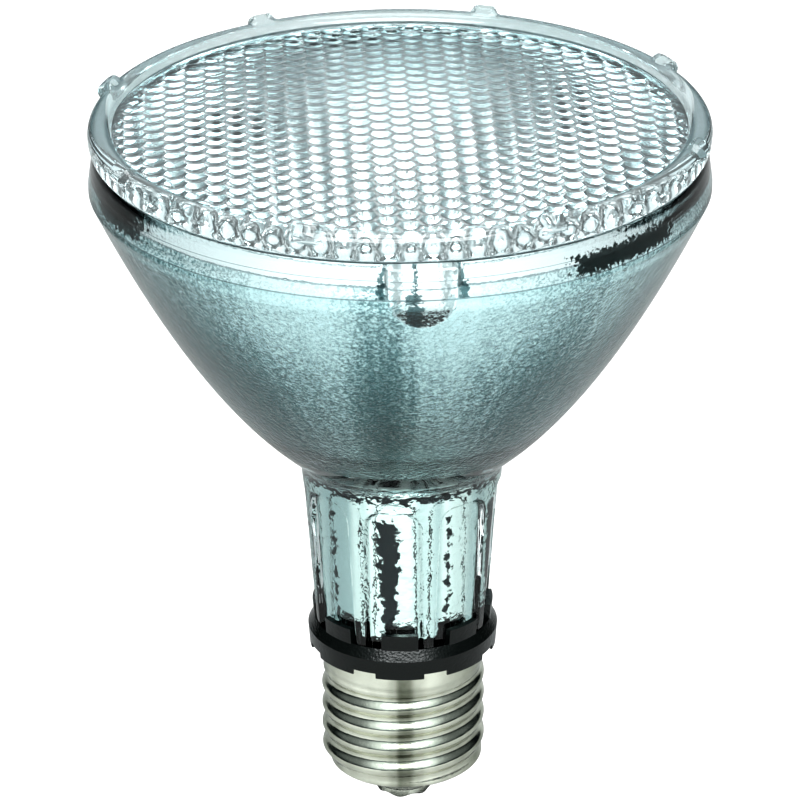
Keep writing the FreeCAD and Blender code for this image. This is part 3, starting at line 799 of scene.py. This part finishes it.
def lensProfile():
    size = lensSizes
    bead, dome = 2, 3
    beadCentre = (size["widest"] - size["beadRadius"], size["seat"] + size["beadHeight"])
    field = radians(size["fieldAngle"])
    fieldSpot = (beadCentre[0] + size["beadRadius"] * cos(field),
                 beadCentre[1] + size["beadRadius"] * sin(field))
    boreRadius = size["spigotRadius"] - size["spigotWall"]
    innerEdge = (boreRadius, fieldSpot[1] - size["thickness"])
    spigotFoot = size["seat"] - size["spigotDepth"]
    spigot, skirt, seat = size["spigotRadius"], size["skirtRadius"], size["seat"]
    corners = [innerEdge, (boreRadius, spigotFoot), (spigot, spigotFoot), (spigot, seat), (skirt, seat)]
    spots = []
    for start, end, steps in zip(corners, corners[1:], (3, 2, 3, 3)):
        spots += stretch(start, end, steps)
    steps = 8
    for i in range(steps):
        turn = pi / 2 * i / steps
        spots.append((skirt + (size["widest"] - skirt) * sin(turn),
                      beadCentre[1] - (beadCentre[1] - seat) * cos(turn), bead))
    spots += arcSpots(beadCentre, size["beadRadius"], 0, size["fieldAngle"], 26, bead)
    domeSteps = 16
    for i in range(domeSteps):
        radius = fieldSpot[0] * (1 - i / domeSteps)
        spots.append((radius, domeHeight(radius, fieldSpot[0], fieldSpot[1], size["dome"]), dome))
    spots.append((0, fieldSpot[1] + size["dome"], dome))
    return spots, innerEdge, fieldSpot[1] + size["dome"] - size["thickness"], beadCentre


def latticeSpots(limit):
    # centre and ring spots of every six-sided cell, in millimetres
    size = lensSizes
    a, b = size["columnStep"], size["pitch"]
    near = a / 2 - b * b / (8 * a)
    far = a / 2 + b * b / (8 * a)
    corners = [(far, 0), (near, b / 2), (-near, b / 2), (-far, 0), (-near, -b / 2), (near, -b / 2)]
    cell = [(0.0, 0.0)]
    for ring in range(1, size["rings"] + 1):
        share = ring / size["rings"]
        for corner, after in zip(corners, corners[1:] + corners[:1]):
            for i in range(ring):
                t = i / ring
                cell.append((share * (corner[0] + (after[0] - corner[0]) * t),
                             share * (corner[1] + (after[1] - corner[1]) * t)))
    turn = radians(size["latticeTurn"])
    reach = int(limit / a) + 2
    found = {}
    for column in range(-reach, reach + 1):
        for row in range(-reach - 1, reach + 2):
            centre = (column * a, (row + (column % 2) / 2) * b)
            for dx, dy in cell:
                x, y = centre[0] + dx, centre[1] + dy
                spot = (x * cos(turn) - y * sin(turn), x * sin(turn) + y * cos(turn))
                if hypot(*spot) < limit:
                    found[(round(spot[0], 3), round(spot[1], 3))] = spot
    return list(found.values())


def makeLensletTree(sizes):
    size = lensSizes
    tree, start, end = newShapeTree("lensletTree", sizes)
    x, y, z = positionParts(tree)
    radius, angle = aroundAxis(x, y)
    turned = angle - start["Lattice Turn"]
    nearest = nearestCell(radius * turned.cos(), radius * turned.sin(), start["Pitch"], start["Column Step"] * 2.0)
    far = start["Column Step"] / 2.0 + start["Pitch"] * start["Pitch"] / (start["Column Step"] * 8.0)
    squareRadius = start["Lenslet Radius"] * start["Lenslet Radius"]
    bump = (squareRadius - nearest).sqrt() - (squareRadius - far * far).sqrt()
    fade = smoothRange(start["Field Radius"] - radius, 0.0, start["Edge Fade"])
    ball = (start["Ball Radius"] * start["Ball Radius"] - radius * radius).sqrt()
    under = start["Ball Centre"] + ball - bump * fade
    inField = readMark(tree, "finish").equals(1.0) * (radius < start["Field Radius"])
    moved = movePoints(tree, start["Geometry"], placeAt(radius, angle, under), inField)
    # lugs: the bead swells along its own normal near each one
    across = nearestCopy(angle, start["Nub Count"], start["Nub Turn"]) * radius
    wide = overMm(start["Nub Half Width"] - abs(across), -size["nubSoftOut"], size["nubSoftIn"])
    lean = (z - start["Bead Height"]).atan2(radius - start["Bead Ring"])
    tall = smoothRange(abs(lean - radians(size["nubLean"])), radians(size["nubReach"]), radians(size["nubFull"]))
    swell = wide * tall * start["Nub Height"]
    onBead = (radius > start["Bead Ring"] - start["Bead Radius"]) * (z > start["Bead Height"])
    swollen = placeAt(radius + swell * lean.cos(), angle, z + swell * lean.sin())
    moved = movePoints(tree, moved, swollen, onBead)
    endTree(tree, moved, end, [clearGlass, clearGlass, beadGlass, fieldGlass])
    return tree


def makeLens():
    size = lensSizes
    profile, innerEdge, innerTop, beadCentre = lensProfile()
    points, faces, marks = turnedFaces(profile, size["columns"], False)
    rim = [(innerEdge[0] * cos(fullTurn * i / size["columns"]),
            innerEdge[0] * sin(fullTurn * i / size["columns"])) for i in range(size["columns"])]
    flat = [Vector(spot) for spot in rim + latticeSpots(innerEdge[0] - size["cellMargin"])]
    found = delaunay_2d_cdt(flat, [], [], 0, 1e-4)
    start = len(points)
    points += [(mm(spot.x), mm(spot.y), mm(innerEdge[1])) for spot in found[0]]
    inner = [[start + index for index in reversed(face)] for face in found[2]]
    faces += inner
    marks += [1.0] * len(inner)
    mesh = meshFrom("lensGlass", points, faces, marks)
    work = bmesh.new()
    work.from_mesh(mesh)
    bmesh.ops.remove_doubles(work, verts=work.verts, dist=2e-6)
    work.to_mesh(mesh)
    work.free()
    piece = newObject("lensGlass", mesh)
    rise = innerTop - innerEdge[1]
    ball = (innerEdge[0] ** 2 + rise ** 2) / (2 * rise)
    shapeWith(piece, makeLensletTree, {
        **metresFrom(size, "Pitch", "Column Step", "Lenslet Radius", "Edge Fade", "Nub Height", "Nub Half Width",
                     "Bead Radius"),
        "Lattice Turn": radians(size["latticeTurn"]), "Field Radius": mm(innerEdge[0]),
        "Ball Radius": mm(ball), "Ball Centre": mm(innerTop - ball), "Nub Count": float(size["nubCount"]),
        "Nub Turn": radians(size["nubTurn"]), "Bead Ring": mm(beadCentre[0]), "Bead Height": mm(beadCentre[1]),
    })
    smoothFaces(piece, 28)
    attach(piece, root)
    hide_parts("front_lens")
    return piece


lens = makeLens()
print("lens made with", len(lens.data.polygons), "faces")

# Screw shell: rolled sheet with a round right-hand thread. Sizes in millimetres.
shellSizes = {
    "endHeight": 6.4, "endRadius": 11.0, "shoulderHeight": 10.0, "radius": 12.75, "depth": 0.8,
    "pitch": 3.629, "crestHeight": 22.04, "threadStart": 7.6, "threadEnd": 24.4, "runout": 0.6, "bandRadius": 12.9,
    "top": 28.8, "flangeRadius": 14.55, "wall": 0.3, "columns": 180,
}


def shellProfile():
    size = shellSizes

    def shellRadius(height):
        if height < size["shoulderHeight"]:
            share = (height - size["endHeight"]) / (size["shoulderHeight"] - size["endHeight"])
            return size["endRadius"] + (size["radius"] - size["endRadius"]) * sqrt(share * (2 - share))
        share = min(1, max(0, (height - size["threadEnd"]) / size["runout"]))
        return size["radius"] + share * (size["bandRadius"] - size["radius"])

    rows = 96
    turn = size["top"] - size["wall"]
    heights = [size["endHeight"] + (turn - size["endHeight"]) * i / rows for i in range(rows + 1)]
    outer = [(shellRadius(height), height, 0) for height in heights]
    inner = [(radius - size["wall"], height, 0) for radius, height, _ in reversed(outer)]
    rim = size["flangeRadius"]
    flange = [(rim - 0.05, turn, 0), (rim, turn + 0.05, 0), (rim, size["top"] - 0.05, 0),
              (rim - 0.05, size["top"], 0), (size["bandRadius"] - size["wall"], size["top"], 0)]
    return outer + flange + inner


def makeThreadTree(sizes):
    tree, start, end = newShapeTree("threadTree", sizes)
    x, y, z = positionParts(tree)
    radius, angle = aroundAxis(x, y)
    phase = (z - start["Crest Height"]) * fullTurn / start["Pitch"] - angle
    fade = smoothRange(z, start["Low"], start["Low Full"]) * smoothRange(z, start["High"], start["High Full"])
    wave = phase.cos() * (start["Depth"] * 0.5)
    moved = movePoints(tree, start["Geometry"], placeAt(radius + wave * fade, angle, z))
    endTree(tree, moved, end, [platedMetal])
    return tree


# painted reflections: brightness of the plating round the cap, direction in degrees, brightness
capPaintedReflections = [(-172, 0.25), (-155, 0.45), (-135, 0.75), (-120, 0.95), (-104, 0.90), (-97, 0.60), (-92, 0.12),
              (-86, 0.16), (-80, 0.60), (-70, 0.92), (-56, 0.70), (-40, 0.50), (-20, 0.30), (5, 0.75), (40, 0.40),
              (75, 0.90), (95, 0.30), (120, 0.80), (150, 0.50)]
platedMetal = metalFinish("platedMetal", (0.16, 0.17, 0.13), (0.78, 0.79, 0.69), 0.12, 0.22, 0.12, 0.00015, 220.0,
                          capPaintedReflections)


def makeShell():
    size = shellSizes
    points, faces, marks = turnedFaces(shellProfile(), size["columns"], True)
    piece = newObject("screwShell", meshFrom("screwShell", points, faces, marks))
    shapeWith(piece, makeThreadTree, {
        **metresFrom(size, "Pitch", "Depth", "Crest Height"),
        "Low": mm(size["endHeight"]), "Low Full": mm(size["threadStart"]),
        "High Full": mm(size["threadEnd"] - size["pitch"] / 2), "High": mm(size["threadEnd"]),
    })
    smoothFaces(piece, 40)
    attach(piece, root)
    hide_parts("screw_shell")
    return piece


shell = makeShell()
print("screw shell made")

# Centre contact: a small cup of thin sheet with a wavy edge. Sizes in millimetres.
contactSizes = {
    "radius": 4.6, "top": 2.6, "side": 1.5, "edgeHeight": 1.0, "edgeRadius": 4.2, "wall": 0.35, "bore": 1.4,
    "waves": 6, "waveHeight": 0.22, "columns": 96,
}


def makeContact():
    size = contactSizes
    wall, bore = size["wall"], size["bore"]
    profile = [(bore, size["top"], 0), (size["radius"] - wall, size["top"], 0), (size["radius"], size["top"] - wall, 0),
               (size["radius"], size["side"], 0), (size["edgeRadius"], size["edgeHeight"], 0),
               (size["edgeRadius"] - wall, size["edgeHeight"], 0), (size["radius"] - wall, size["side"], 0),
               (size["radius"] - wall, size["top"] - wall, 0), (bore, size["top"] - wall, 0)]
    points, faces, marks = turnedFaces(list(reversed(profile)), size["columns"], True)
    wavy = []
    for x, y, z in points:
        share = max(0.0, (mm(size["side"]) - z) / mm(size["side"] - size["edgeHeight"]))
        wave = cos(size["waves"] * atan2(y, x) + 1.0) * mm(size["waveHeight"])
        wavy.append((x, y, z + wave * share))
    piece = newObject("contactCup", meshFrom("contactCup", wavy, faces, marks))
    piece.data.materials.append(contactMetal)
    smoothFaces(piece, 40)
    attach(piece, root)
    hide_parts("centre_contact")
    return piece


# Finishes of the carried-over CAD pieces
collarBlack = solidFinish("collarBlack", (0.0015, 0.003, 0.0025), (0.005, 0.008, 0.007), 0.10, 0.26, 0.5, 0.00012,
                          700.0)
collarBlack.node_tree.nodes["Principled BSDF"].inputs["Specular IOR Level"].default_value = 0.4
quartz = glassFinish("quartz", (0.97, 0.985, 0.985), (0.985, 0.99, 0.99), 0.0, 0.02, 0.0001, 300.0, 90.0, 1.0)
whiteCeramic = solidFinish("whiteCeramic", (0.70, 0.69, 0.66), (0.80, 0.79, 0.76), 0.4, 0.6, 0.2, 0.00005, 800.0)
paleCement = solidFinish("paleCement", (0.45, 0.45, 0.43), (0.58, 0.58, 0.55), 0.7, 0.9, 0.5, 0.0002, 500.0)
seamCement = solidFinish("seamCement", (0.08, 0.12, 0.13), (0.16, 0.21, 0.22), 0.4, 0.6, 0.3, 0.0001, 500.0)
greyWire = metalFinish("greyWire", (0.42, 0.42, 0.43), (0.55, 0.55, 0.56), 0.25, 0.4, 0.1, 0.00005, 500.0)
blackGlass = solidFinish("blackGlass", (0.010, 0.012, 0.016), (0.022, 0.026, 0.032), 0.08, 0.16, 0.05, 0.0001,
                         400.0, 0.5)
contactMetal = metalFinish("contactMetal", (0.62, 0.64, 0.56), (0.80, 0.82, 0.73), 0.20, 0.34, 0.15, 0.0001, 300.0)
solderMetal = metalFinish("solderMetal", (0.50, 0.51, 0.52), (0.64, 0.65, 0.66), 0.2, 0.38, 0.3, 0.0002, 350.0)
makeContact()
print("contact made")

nodeFinishes = (
    (quartz, ["burner_jacket"]), (whiteCeramic, ["arc_tube", "burner_holder", "lead_sleeve"]),
    (greyWire, ["lower_electrode_lead", "upper_electrode_lead", "frame_wire", "short_wire", "getter", "left_foil",
                "right_foil", "left_pin", "right_pin", "centre_lead", "side_lead"]),
    (paleCement, ["neck_cement"]), (seamCement, ["rim_cement"]), (collarBlack, ["collar"]),
    (blackGlass, ["cap_insulator"]), (solderMetal, ["centre_solder"]),
)
for finish, nodeNames in nodeFinishes:
    for nodeName in nodeNames:
        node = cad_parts[nodeName]
        node.data.materials.clear()
        node.data.materials.append(finish)
print("CAD pieces finished")

# Studio: pale floor, soft light, camera. Sizes in metres, angles in degrees.
studioSizes = {
    "floorHalf": 3.0,
    "cameraDistance": 0.84924, "cameraElevation": 24.67, "targetHeight": 0.07015,
    "focalPixels": 5358.3, "imagePixels": 800, "sensor": 36.0, "shiftPixels": 1.5, "roll": -0.32,
}


def makeFloor():
    half = studioSizes["floorHalf"]
    mesh = bpy.data.meshes.new("studioFloor")
    mesh.from_pydata([(-half, -half, 0), (half, -half, 0), (half, half, 0), (-half, half, 0)], [], [(0, 1, 2, 3)])
    piece = newObject("studioFloor", mesh)
    piece.location.z = -0.0002
    paint, tree, shader = newFinish("floorPaint")
    mottle = placeGroup(tree, slowMottle, {"Scale": 3.0})
    tintBetween(tree, shader, mottle["Value"], (0.80, 0.81, 0.81), (0.84, 0.85, 0.85))
    setInputs(shader, {"Roughness": 0.8})
    # seen straight from the camera the floor is blown out to white, as in the photograph
    seen = tree.nodes.new("ShaderNodeLightPath")
    glow = tree.nodes.new("ShaderNodeEmission")
    mixed = tree.nodes.new("ShaderNodeMixShader")
    link(tree, seen.outputs["Is Camera Ray"], mixed.inputs[0])
    link(tree, shader.outputs[0], mixed.inputs[1])
    link(tree, glow.outputs[0], mixed.inputs[2])
    link(tree, mixed.outputs[0], tree.nodes["Material Output"].inputs["Surface"])
    mesh.materials.append(paint)


def makeLight(name, size, spot, target, power, colour):
    data = bpy.data.lights.new(name, "AREA")
    data.shape = "RECTANGLE"
    data.size, data.size_y = size
    data.energy = power
    data.color = colour
    light = newObject(name, data)
    light.location = spot
    light.rotation_euler = (Vector(target) - Vector(spot)).to_track_quat("-Z", "Y").to_euler()


def makeWorld():
    world = bpy.data.worlds.new("studioRoom")
    bpy.context.scene.world = world
    world.use_nodes = True
    tree = world.node_tree
    background = tree.nodes["Background"]
    x, _, z = splitParts(tree, tree.nodes.new("ShaderNodeTexCoord").outputs["Generated"])
    ramp = tree.nodes.new("ShaderNodeValToRGB")
    link(tree, z, ramp.inputs[0])
    stops = ramp.color_ramp.elements
    stops[0].position, stops[0].color = 0.02, (0.03, 0.05, 0.055, 1)
    stops[1].position, stops[1].color = 0.85, (0.93, 1.0, 1.0, 1)
    for position, colour in ((0.16, (0.06, 0.09, 0.10, 1)), (0.34, (0.75, 0.85, 0.87, 1))):
        stops.new(position).color = colour
    # the room is darker at both sides
    side = smoothRange(abs(x), 0.5, 0.85, 1.0, 0.25)
    scaled = tree.nodes.new("ShaderNodeVectorMath")
    scaled.operation = "SCALE"
    link(tree, ramp.outputs[0], scaled.inputs[0])
    link(tree, side, scaled.inputs["Scale"])
    link(tree, scaled.outputs[0], background.inputs["Color"])
    world.cycles_visibility.diffuse = False
    background.inputs["Strength"].default_value = 1.0


def makeCamera():
    size = studioSizes
    data = bpy.data.cameras.new("photoCamera")
    data.sensor_width = size["sensor"]
    data.lens = size["focalPixels"] / size["imagePixels"] * size["sensor"]
    data.shift_x = -size["shiftPixels"] / size["imagePixels"]
    data.clip_start, data.clip_end = 0.05, 20.0
    camera = newObject("photoCamera", data)
    lift = radians(size["cameraElevation"])
    camera.location = (0, -size["cameraDistance"] * cos(lift),
                       size["targetHeight"] + size["cameraDistance"] * sin(lift))
    camera.rotation_euler = (Euler((radians(90) - lift, 0, 0)).to_matrix()
                             @ Euler((0, 0, radians(size["roll"]))).to_matrix()).to_euler()
    bpy.context.scene.camera = camera


makeFloor()
makeWorld()
makeLight("topBox", (0.55, 0.55), (0, 0, 1.1), (0, 0, 0), 4.0, (0.97, 1.0, 1.0))
makeLight("frontBox", (0.6, 0.34), (0, -0.45, 0.5), (0, -0.22, 0), 4.2, (0.97, 1.0, 1.0))
makeCamera()
bpy.context.scene.view_settings.view_transform = "Standard"
bpy.context.scene.view_settings.look = "High Contrast"
print("studio ready")
